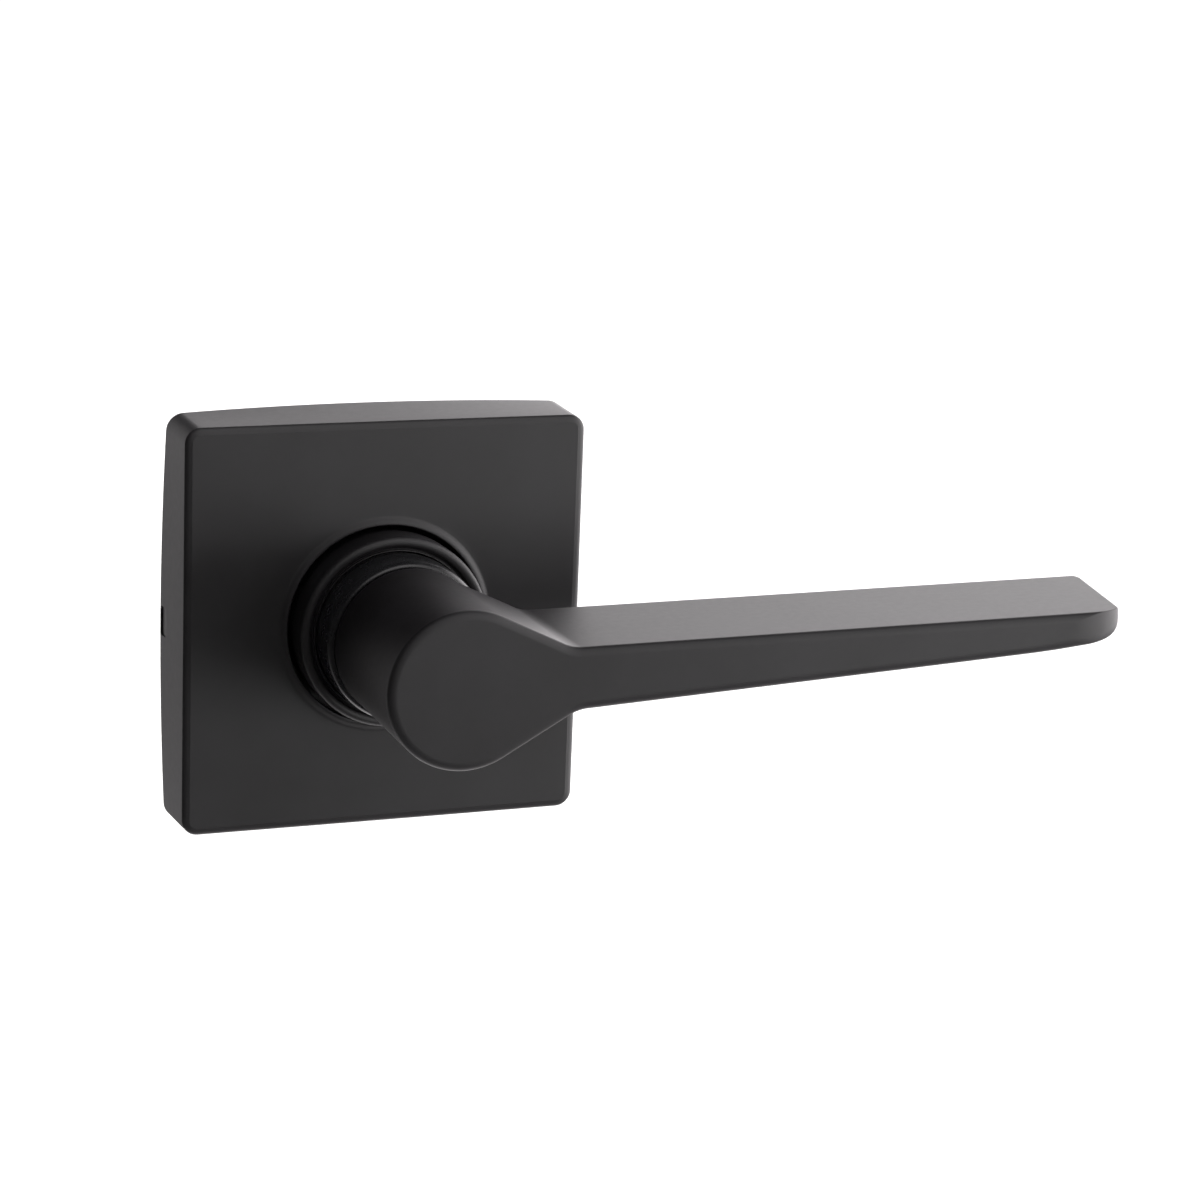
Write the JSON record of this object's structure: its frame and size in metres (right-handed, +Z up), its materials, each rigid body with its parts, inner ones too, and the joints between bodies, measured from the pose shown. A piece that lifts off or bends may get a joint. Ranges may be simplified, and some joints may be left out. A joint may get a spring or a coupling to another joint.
{
  "type": "door lever handle",
  "caption": "Square-rose door lever: one side of a passage set with a flat tapering blade, sprung to level, on a square spindle.",
  "frame": {"origin": "on the lever's turning axis, at the door face that the rose stands on", "axes": "+X along the lever towards its tip, +Y into the door along the turning axis, +Z up"},
  "size_m": [0.1509, 0.099, 0.0684],
  "materials": {
    "rose": "satin black coating on a pressed and cast metal rose",
    "lever": "satin black coating on a cast metal lever",
    "sleeve": "smooth black plating, glossier than the lever",
    "zinc_steel": "zinc plated steel",
    "spring_steel": "bare spring steel",
    "nylon": "black nylon"
  },
  "bodies": {
    "trim": {"rose_cover": "rose", "mounting_plate": "zinc_steel", "spring_housing": "rose", "bearing_collar": "rose", "neck_bushing": "nylon", "thrust_washer": "nylon", "return_spring": "spring_steel", "housing_rivet_lower": "zinc_steel", "housing_rivet_upper": "zinc_steel", "mounting_screw_left": "zinc_steel", "mounting_screw_right": "zinc_steel", "rose_clip_top": "spring_steel", "rose_clip_right": "spring_steel", "rose_clip_bottom": "spring_steel", "rose_clip_left": "spring_steel"},
    "lever": {"lever_handle": "lever", "drive_sleeve": "sleeve", "drive_cam": "zinc_steel", "retaining_ring": "spring_steel", "spindle": "zinc_steel", "spindle_pin": "spring_steel", "catch_spring": "spring_steel"},
    "catch": {"lever_catch": "zinc_steel"}
  },
  "joints": [
    {"name": "lever_turn", "type": "hinge", "parent": "trim", "child": "lever", "pos_m": [0, 0, 0], "axis": [0, 1, 0], "range_deg": [-45, 45], "stiffness_Nm_per_rad": 1.4, "springref_deg": -2.86, "deforming": ["return_spring"]},
    {"name": "catch_push", "type": "slide", "parent": "lever", "child": "catch", "axis": [0, 0, 1], "range_m": [0, 0.0014], "stiffness_N_per_m": 600}
  ]
}
